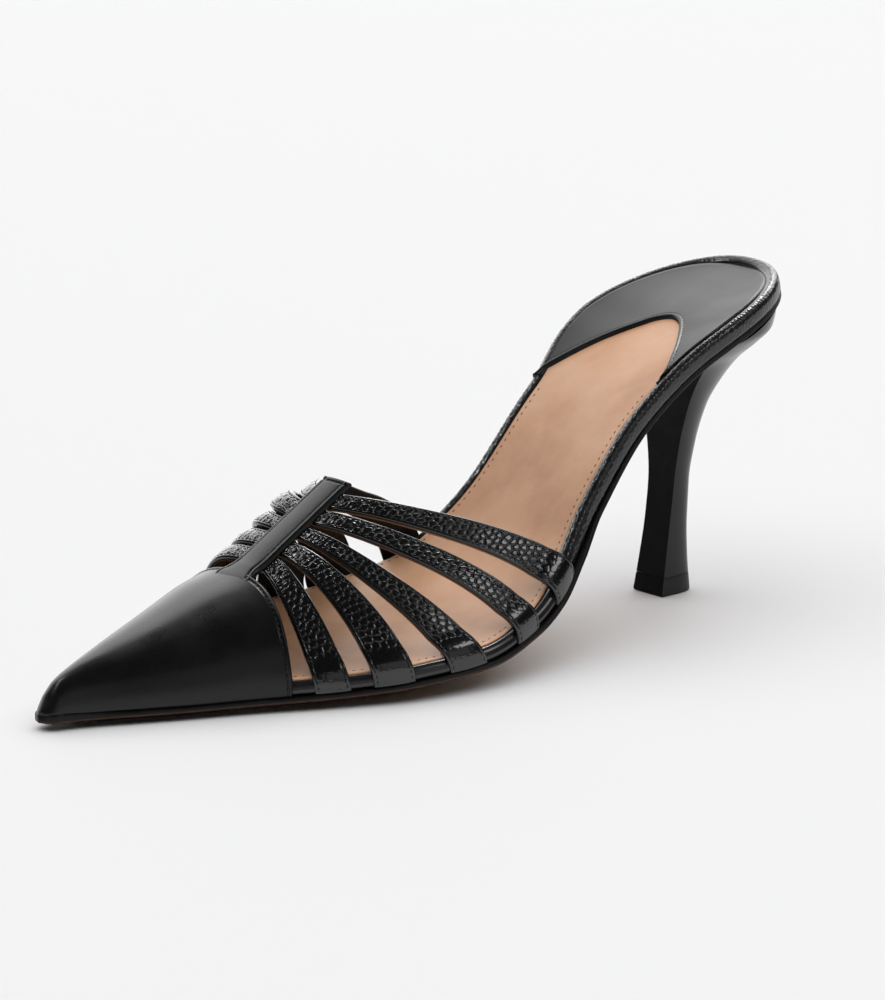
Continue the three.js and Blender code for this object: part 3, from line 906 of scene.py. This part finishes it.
def cap_point(x, turn):
    """A place on the cap: turn goes from the outer foot (-90 degrees) to the inner foot."""
    side = OUTER if turn < 0 else INNER
    along = outer_foot(x) if side < 0 else inner_foot(x)
    if along < TOE_ROUND:
        width = nose_half(along, side)
    else:
        width = half_width(along, side) + UPPER_STAND
    at = max(along, 0)
    base = below(at, 0, FOOTBED_THICK)
    low = Vector((base.x + along - at, side * width, base.z))
    out = math.sin(abs(turn)) ** (2 / cap_fullness(x))
    up = max(math.cos(turn), 0) ** (2 / cap_fullness(x))
    return Vector((
        x + (low.x - x) * out,
        ridge_side(x) + (low.y - ridge_side(x)) * out,
        low.z + (ridge_top(x) - low.z) * up,
    ))


def cap_out(x, turn):
    """The way out of the cap, found by small steps that stay clear of its ridge and foot."""
    turn = max(-1.565, min(1.565, turn))
    if abs(turn) < 0.012:
        turn = 0.012 if turn >= 0 else -0.012
    along = cap_point(x + 0.05, turn) - cap_point(x - 0.05, turn)
    across = cap_point(x, turn + 0.004) - cap_point(x, turn - 0.004)
    out = along.cross(across).normalized()
    if out.z < -0.05 or out.dot(cap_point(x, turn) - Vector((x, ridge_side(x), 8))) < 0:
        out = -out
    return out


def cap_lengths():
    nose = [CAP_NOSE + (k / 40) ** 2.2 * 13.4 for k in range(41)]
    body = [12.0 + (CAP_END - 14.5) * k / 90 for k in range(1, 91)]
    edge = [CAP_END - 2.5 * (1 - k / 16) for k in range(1, 17)]
    return nose + body + edge


def cap_flare(turn):
    """How much further back the cap reaches beside the bar, where the two run together."""
    return CAP_FLARE * (1 - ease(0.35, 1.35, abs(turn)))


def make_cap():
    """The pointed cap: one smooth piece of calf, its rear edge folded and stitched."""
    xs = cap_lengths()
    around = 130
    curl = ((-0.45, 0.25), (-1.1, 0.3))

    def where(i, k):
        turn = (k - 2) / (around - 5) * math.pi - math.pi / 2
        x = xs[i] + cap_flare(turn) * ease(38, CAP_END, xs[i])
        if k < 2 or k > around - 3:
            side = OUTER if k < 2 else INNER
            base = cap_point(x, side * math.pi / 2)
            inward, down = curl[1 if k in (0, around - 1) else 0]
            inward = max(inward, -abs(base.y - ridge_side(x)) * 0.8)
            return base + Vector((0, side * inward, -down)), 0.0
        turn = max(-math.pi / 2, min(math.pi / 2, turn))
        point = cap_point(x, turn)
        back = CAP_END - xs[i]
        if back < 3:
            point += cap_out(x, turn) * folded_edge(back) * 0.8
        return point, 0.0

    bm = lofted(len(xs), around, where, closed=False)
    top = max(bm.faces, key=lambda f: f.calc_center_median().z)
    if top.normal.z < 0:
        bmesh.ops.reverse_faces(bm, faces=bm.faces)
    piece = finish_piece("toe_cap", bm, (CALF, LINING))
    wall = piece.modifiers.new("wall", "SOLIDIFY")
    wall.thickness = UPPER_WALL * MM * 0.9
    wall.offset = -1
    wall.material_offset = 1
    wall.material_offset_rim = 0
    # The wall thins to nothing much in the point, where the two sides all but meet.
    full = piece.vertex_groups.new(name="full_wall")
    for corner in piece.data.vertices:
        x = corner.co.x / MM + BOX_MIDDLE.x
        full.add([corner.index], ease(CAP_NOSE + 0.7, 9, x), "REPLACE")
    wall.vertex_group = full.name
    wall.thickness_vertex_group = 0.03
    return piece


def ridge_out(x):
    """The way out of the instep ridge."""
    slope = ridge_top(x + 0.5) - ridge_top(x - 0.5)
    size = math.hypot(1, slope)
    return Vector((-slope / size, 0, 1 / size))


def folded_edge(inward):
    """Height of a folded, stitched edge at a distance in from it: bead, groove, then flat."""
    roll = -0.9 * (1 - ease(-0.25, 0.65, inward))
    bead = 0.2 * math.exp(-((inward - 0.75) / 0.35) ** 2)
    return roll + bead - 0.34 * math.exp(-((inward - 1.4) / 0.26) ** 2)


def bar_face(x, across):
    """A place on the bar's face; across goes from -1 to 1."""
    half = bar_half(x)
    out = ridge_out(x)
    fold = min(folded_edge(half * (1 - abs(across))), folded_edge(BAR_END - x))
    high = bar_rise(x) - 0.35 * across ** 2 + fold
    return Vector((x, ridge_side(x) + half * across, ridge_top(x))) + out * high


def make_bar():
    """The folded calf bar on the instep, stitched along both edges and across its end."""
    xs = evenly(BAR_FROM, BAR_END - 3, 111)
    xs += [BAR_END - 3 * (1 - k / 18) for k in range(1, 19)]
    shares = [math.sin(math.pi / 2 * (k - 16) / 16) * 0.35 + 0.65 * (k - 16) / 16
              for k in range(33)]

    def where(i, k):
        x = xs[i]
        if k < len(shares):
            return bar_face(x, shares[k]), 0.0
        out = ridge_out(x)
        across = (0.98, 0.0, -0.98)[k - len(shares)]
        low = Vector((x, ridge_side(x) + bar_half(x) * across, ridge_top(x)))
        return low - out * 1.15, 0.0

    bm = lofted(len(xs), len(shares) + 3, where)
    return finish_piece("instep_bar", bm, (CALF,), ("centre_bar",), 60)


class Strap:
    """One strap, from under the bar to the sole, worked out once on a fine grid."""

    def __init__(self, row, side, number):
        self.size = dict(zip(STRAP_COLUMNS, row))
        self.side = side
        self.number = number
        turns = evenly(0, math.pi / 2, 241)
        middle = [self.smooth(0.5, turn) for turn in turns]
        lengths = run_lengths(middle)
        self.length = lengths[-1]
        self.alongs = [-UNDER_BAR, -1.5, -0.5] + lengths
        self.grid = []
        for back in (UNDER_BAR, 1.5, 0.5):
            aside = Vector((0, -side * back, 0))
            self.grid.append([self.smooth(share, 0) + aside for share in (0, 0.5, 1)])
        self.grid += [[self.smooth(share, turn) for share in (0, 0.5, 1)] for turn in turns]
        self.outs = []
        last = len(self.grid) - 1
        for i, places in enumerate(self.grid):
            before, after = self.grid[max(i - 1, 0)], self.grid[min(i + 1, last)]
            wide = places[2] - places[0]
            self.outs.append(
                [(after[n] - before[n]).cross(wide).normalized() * -side for n in range(3)]
            )

    def smooth(self, share, turn):
        """The strap's smooth way: share across it, turn from the bar (0) to the sole (90)."""
        size, side = self.size, self.side
        bar = size["bar_front"] + (size["bar_rear"] - size["bar_front"]) * share
        sole = size["sole_front"] + (size["sole_rear"] - size["sole_front"]) * share
        foot = below(sole, side * (half_width(sole, side) + UPPER_STAND), FOOTBED_THICK)
        start = Vector((bar, ridge_side(bar) + side * STRAP_AT_BAR, ridge_top(bar) - BAR_CLEARANCE))
        out = math.sin(turn) ** (2 / size["full"])
        up = max(math.cos(turn), 0) ** (2 / size["full"])
        lag = 1 - GATHER_LAG * math.exp(-((out / 0.36) ** 2)) * (side == INNER)
        front, rear = STRAP_SPREAD[self.number] if side == INNER else (0, 0)
        low = ease(15, 62, math.degrees(turn)) * (1 - 0.35 * ease(80, 90, math.degrees(turn)))
        rib = (side == INNER) * math.exp(-(((out - RIB_AT) / RIB_REACH) ** 2))
        spread_x = (rear * share - front * (1 - share)) * low
        spread_x += (RIB_REAR * share - RIB_FRONT * (1 - share)) * rib
        return Vector((
            start.x + (foot.x - start.x) * out ** size["sweep"] * lag + spread_x,
            start.y + (foot.y - start.y) * out,
            foot.z + (start.z - foot.z) * up,
        ))

    def at(self, along, share):
        """Place and way out at a length along the strap and a share across it."""
        alongs = self.alongs
        i = min(max(bisect.bisect_right(alongs, along) - 1, 0), len(alongs) - 2)
        t = (along - alongs[i]) / max(alongs[i + 1] - alongs[i], 1e-9)
        weights = ((1 - share) * (1 - 2 * share), 4 * share * (1 - share), share * (2 * share - 1))
        point, out = Vector(), Vector()
        for n, weight in enumerate(weights):
            point += weight * self.grid[i][n].lerp(self.grid[i + 1][n], t)
            out += weight * self.outs[i][n].lerp(self.outs[i + 1][n], t)
        return point, out.normalized()

    def width(self, along):
        return (self.at(along, 1)[0] - self.at(along, 0)[0]).length

    def puff(self, along, share):
        """How far the gathered strap stands up beside the bar."""
        arch = 1 - (2 * share - 1) ** 2
        near = ease(-2, GATHER_PEAK, along) * (1 - ease(GATHER_PEAK, GATHER_REACH, along))
        lasted = min(max((along - self.length + LASTED_ROUND) / LASTED_ROUND, 0), 1)
        round_out = 1.15 * math.sin(math.pi * lasted) ** 1.5
        if self.side == INNER:
            return GATHER[self.number] * near + (0.2 + 0.45 * near) * arch + round_out
        return 0.35 * near + 0.2 * arch + round_out

    def surface(self, along, share, relief=0.0):
        point, out = self.at(along, share)
        return point + out * (self.puff(along, share) + relief), out


def strap_relief(strap, along, across, width):
    """Height of the face over the strap's smooth way, and how much it is in a groove."""
    edge = min(across, width - across)
    roll = EDGE_ROLL * (1 - math.sqrt(max(0, 1 - (1 - min(edge / EDGE_ROLL, 1)) ** 2)))
    seam = math.exp(-((edge - STITCH_INSET) / 0.2) ** 2)
    seed = strap.number + 6 * (strap.side > 0)
    height, groove = scale_relief(along, across + 3.1 * strap.number, SCALE_PITCH, seed)
    # Gathering pinches the scales into fine wrinkles across the strap near the bar.
    pinch = 1 - ease(6, 16, along)
    wrinkle = noise.noise(Vector((along * 1.9, across * 0.45, seed * 3.7)))
    height = height * (1 - 0.35 * pinch) + 0.16 * pinch * wrinkle
    lasted = ease(strap.length - LASTED - 1.5, strap.length - LASTED + 1, along)
    inside = ease(STITCH_INSET, STITCH_INSET + 0.35, edge) * (1 - 0.9 * lasted)
    return height * inside - roll - 0.16 * seam, groove * inside


def make_strap(strap):
    """One strap of snake-embossed calf with folded, stitched edges."""
    count = int((strap.length + UNDER_BAR) / STRAP_STEP)
    rows = 56
    shares = stations(rows + 1, 1)
    alongs = evenly(-UNDER_BAR, strap.length, count)
    widths = [strap.width(a) for a in alongs]

    def where(i, k):
        along = alongs[i]
        if k <= rows:
            share = shares[k]
            height, groove = strap_relief(strap, along, share * widths[i], widths[i])
            return strap.surface(along, share, height)[0], groove
        share = (0.995, 0.5, 0.005)[k - rows - 1]
        return strap.surface(along, share, -STRAP_THICK)[0], 0.0

    bm = lofted(count, rows + 4, where)
    for face in bm.faces:
        middle = face.calc_center_median() / MM + BOX_MIDDLE
        centre = Vector((middle.x, ridge_side(middle.x), min(middle.z - 8, 14)))
        if face.normal.dot(middle - centre) < 0 and face.calc_area() > 1.2 * MM * STRAP_STEP * MM:
            face.material_index = 1
    side = "outer" if strap.side < 0 else "inner"
    name = f"strap_{side}_{strap.number + 1}"
    return finish_piece(name, bm, (SNAKE, LINING))


# ---------------------------------------------------------------- heel

def heel_ring(z, around):
    """Plan points of the heel at a height: the flat breast, then round the back."""
    breast, half, depth, square = (column(z) for column in HEEL_CURVES)
    lean = max(0, 1 - z / 70)
    middle = HEEL_MIDDLE + (HEEL_BASE_MIDDLE - HEEL_MIDDLE) * lean
    made = []
    for turn in around:
        if isinstance(turn, tuple):
            made.append((breast, middle + half * turn[0]))
            continue
        power = 2 / square
        out = math.copysign(abs(math.sin(turn)) ** power, math.sin(turn))
        made.append((breast + depth * max(0, math.cos(turn)) ** power, middle + half * out))
    return made


HEEL_CURVES = [curve(HEEL_LEVELS, "z", c) for c in ("breast", "half", "depth", "square")]
HEEL_TURNS = [math.radians(-90 + 180 * k / 56) for k in range(57)]
HEEL_TURNS += [(0.97,), (0.6,), (0.2,), (-0.2,), (-0.6,), (-0.97,)]


def sole_under(x):
    """Height of the sole's underside at its edge."""
    depth = OUTSOLE_DEPTH + OUTSOLE_THICK - 0.15
    return seat_height(x) - depth * math.hypot(1, seat_slope(x))


def make_heel():
    """The slim heel, covered in smooth calf, with a flat breast and a crisp front edge."""
    shares = [k / 80 for k in range(81)]
    around = len(HEEL_TURNS)
    low = TOP_LIFT + 0.12
    sections = []
    for share in shares:
        ring = []
        for turn in HEEL_TURNS:
            z = low + share * (HEEL_TOP - low)
            # A place's height and its plan depend on each other, and settle in a few rounds.
            for _ in range(14):
                x, y = heel_ring(z, [turn])[0]
                z = 0.5 * z + 0.5 * (low + share * (sole_under(x) - low))
            ring.append(Vector((x, y, z)))
        sections.append(ring)
    bm = lofted(len(shares), around, lambda i, k: (sections[i][k], 0.0))
    for face in bm.faces:
        if face.normal.x < -0.8:
            face.material_index = 1
    return finish_piece("heel_cover", bm, (HEEL_CALF, BREAST_INK), ("heel",), 38)


def make_lift():
    """The hard rubber top piece, a hair smaller than the heel above it."""
    levels = ((0.0, 0.93), (0.35, 0.99), (0.8, 1.0), (2.5, 1.0), (4.6, 1.0), (TOP_LIFT, 0.985))
    rings = []
    for z, grow in levels:
        ring = heel_ring(z, HEEL_TURNS)
        middle = sum((Vector(p) for p in ring), Vector((0, 0))) / len(ring)
        rings.append([middle + (Vector(p) - middle) * grow for p in ring])
    bm = lofted(
        len(levels), len(HEEL_TURNS),
        lambda i, k: (Vector((rings[i][k].x, rings[i][k].y, levels[i][0])), 0.0),
    )
    for face in bm.faces:
        if face.normal.x < -0.8:
            face.material_index = 1
    return finish_piece(
        "heel_top_piece", bm, (RUBBER, BREAST_INK), ("top_lift",), 38
    )


# ---------------------------------------------------------------- stitches

def stitch_along(line, pitch):
    """Places for stitches an even pitch apart along a line of points with their ways out."""
    points = [point for point, _ in line]
    ups = [up for _, up in line]
    count = max(int(run_lengths(points)[-1] / pitch), 2)
    made = []
    for i, share in walk(points, [(k + 0.5) / count for k in range(count)]):
        run = (points[i + 1] - points[i]).normalized()
        up = ups[i].lerp(ups[i + 1], share)
        up = (up - run * up.dot(run)).normalized()
        made.append((points[i].lerp(points[i + 1], share), run, up))
    return made


def on_sock(x, y, height):
    """A place a height above the sock's face, with its way out."""
    depth = sock_depth(x, y) - height
    return below(x, y, depth), below(x, y, -1) - below(x, y, 0)


def strap_stitches(strap):
    made = []
    for rear in (False, True):
        line = []
        for along in evenly(0.5, strap.length - 0.5, 90):
            width = strap.width(along)
            across = width - STITCH_INSET if rear else STITCH_INSET
            line.append(strap.surface(along, across / width, -STITCH_SUNK))
        made += stitch_along(line, STRAP_PITCH)
    return made


def bar_stitches():
    """Along both edges of the bar, from where it leaves the cap, and across its end."""
    made = []
    for side in (OUTER, INNER):
        line = []
        for x in evenly(59.5, BAR_END - 1.5, 60):
            across = side * (1 - BAR_STITCH_INSET / bar_half(x))
            line.append((bar_face(x, across), ridge_out(x)))
        made += stitch_along(line, UPPER_PITCH)
    x = BAR_END - BAR_STITCH_INSET
    line = [(bar_face(x, s / 10), ridge_out(x)) for s in range(-7, 8)]
    return made + stitch_along(line, UPPER_PITCH)


def cap_stitches():
    """Along the cap's rear edge, on both sides of the bar."""
    made = []
    for side in (OUTER, INNER):
        line = []
        for turn in evenly(0.30, 1.54, 80):
            x = CAP_END - 1.4 + cap_flare(turn)
            out = cap_out(x, side * turn)
            line.append((cap_point(x, side * turn) - out * STITCH_SUNK, out))
        made += stitch_along(line, UPPER_PITCH)
    return made


def pad_stitches():
    """Along the pad's mouth, short of its corners at the rim."""
    line = []
    for a, b in list(zip(*pad_lines(200)))[4:-4]:
        at = a + (b - a).normalized() * min(1.55, (b - a).length)
        line.append(on_sock(at.x, at.y, PAD_THICK - 0.08))
    return stitch_along(line, PAD_PITCH)


def sock_stitches():
    """Along both edges of the tan sock, from the cap to the pad."""
    made = []
    for side, reach in ((OUTER, 174), (INNER, 168)):
        line = []
        for x in evenly(56, reach, 160):
            px, py = edge_point(x, side, -sock_inset(x) - 1.5)
            line.append(on_sock(px, py, 0.02))
        made += stitch_along(line, SOCK_PITCH)
    return made


def make_stitches(straps):
    """All the black stitches of the upper and the pad, and the brown ones of the sock."""
    black = bmesh.new()
    for strap in straps:
        bead_row(black, strap_stitches(strap), (1.0, 0.32, 0.26))
    bead_row(black, bar_stitches() + cap_stitches(), (1.05, 0.34, 0.28))
    bead_row(black, pad_stitches(), (1.1, 0.36, 0.24))
    brown = bmesh.new()
    bead_row(brown, sock_stitches(), (0.95, 0.4, 0.2))
    for name, bm, thread, slot in (
        ("black_stitches", black, BLACK_THREAD, "satin_leather"),
        ("brown_stitches", brown, TAN_THREAD, "sock_leather"),
    ):
        bmesh.ops.recalc_face_normals(bm, faces=bm.faces)
        finish_piece(name, bm, (thread,))


# ---------------------------------------------------------------- camera, light and floor

def make_floor():
    finish, tree = new_finish("pale_studio_floor")
    shader = add(
        tree, "ShaderNodeBsdfPrincipled",
        {"Base Color": linear("#F1F1F2"), "Roughness": 0.75, "Specular IOR Level": 0.2},
    )
    add(tree, "ShaderNodeOutputMaterial", {"Surface": shader.outputs["BSDF"]})
    bm = bmesh.new()
    bmesh.ops.create_grid(bm, x_segments=1, y_segments=1, size=12.0)
    mesh = bpy.data.meshes.new("floor")
    bm.to_mesh(mesh)
    bm.free()
    mesh.materials.append(finish)
    floor = bpy.data.objects.new("floor", mesh)
    bpy.context.scene.collection.objects.link(floor)


def aimed(name, lamp, place_m, aim):
    """A lamp set at a place in metres and aimed at a point."""
    box = bpy.data.objects.new(name, lamp)
    box.location = place_m
    box.rotation_mode = "QUATERNION"
    box.rotation_quaternion = (Vector(aim) - Vector(place_m)).to_track_quat("-Z", "Y")
    bpy.context.scene.collection.objects.link(box)
    return box


# The soft boxes in metres: name, size, direction from the shoe, distance and radiance.
SHINE_BOXES = (
    ("back_panel", (4.4, 2.6), (0.45, 0.85, 0.4), 2.6, 2.0),
    ("right_box", (0.8, 0.5), (0.78, 0.2, 0.58), 1.5, 3.0),
    ("side_box", (0.5, 0.34), (0.42, -0.63, 0.66), 1.5, 4.0),
    ("front_box", (2.4, 1.2), (0.04, -0.9, 0.27), 2.6, 0.36),
    ("top_lamp", (0.26, 0.26), (-0.2, 0.42, 0.86), 1.5, 11.0),
    ("right_lamp", (0.36, 0.3), (0.53, 0.42, 0.71), 1.5, 20.0),
    ("toe_lamp", (0.2, 0.2), (-0.5, 0.3, 0.81), 1.5, 16.0),
)


def shine_box(name, size, direction, away, radiance):
    """A soft box seen only as a shine on the leather, a distance away from the shoe."""
    lamp = bpy.data.lights.new(name, "AREA")
    lamp.shape = "RECTANGLE"
    lamp.size, lamp.size_y = size
    lamp.energy = radiance * math.pi * size[0] * size[1]
    place_m = Vector(direction).normalized() * away + Vector((0, 0, 0.04))
    aimed(name, lamp, place_m, (0, 0, 0.04)).visible_diffuse = False


def make_light():
    """A wide even light from above for floor and colour, and soft boxes for the shine."""
    world = bpy.data.worlds.new("studio")
    world.use_nodes = True
    world.node_tree.nodes.clear()
    glow = add(
        world.node_tree, "ShaderNodeBackground", {"Color": linear("#FFFFFF"), "Strength": 0.03}
    )
    add(world.node_tree, "ShaderNodeOutputWorld", {"Surface": glow.outputs["Background"]})
    bpy.context.scene.world = world
    sky = bpy.data.lights.new("sky", "SUN")
    sky.energy = 2.95
    sky.angle = math.radians(110)
    aimed("sky", sky, (0.15, 0.1, 2.0), (0, 0, 0)).visible_glossy = False
    for box in SHINE_BOXES:
        shine_box(*box)
    bpy.context.scene.view_settings.view_transform = "Standard"


def make_camera():
    """Toe to the left, seen from the outer side at a low angle."""
    data = bpy.data.cameras.new("camera")
    camera = bpy.data.objects.new("camera", data)
    bpy.context.scene.collection.objects.link(camera)
    camera.location = (-1.0398, -1.3190, 0.4531)
    aim = Vector((0.002, -0.006, 0.0405))
    camera.rotation_mode = "QUATERNION"
    look = (aim - camera.location).to_track_quat("-Z", "Y")
    camera.rotation_quaternion = look @ Quaternion((0, 0, 1), math.radians(-1.0))
    data.sensor_width = 36
    data.lens = 244
    data.clip_start, data.clip_end = 0.05, 60
    bpy.context.scene.camera = camera


make_floor()
make_light()
make_camera()
make_outsole()
make_insole()
make_sock()
make_wrap()
make_pad()
make_heel()
make_lift()
make_bar()
cap = make_cap()
straps = [Strap(row, OUTER, n) for n, row in enumerate(OUTER_STRAPS)]
straps += [Strap(row, INNER, n) for n, row in enumerate(INNER_STRAPS)]
for strap in straps:
    make_strap(strap)
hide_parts("upper")
make_stitches(straps)
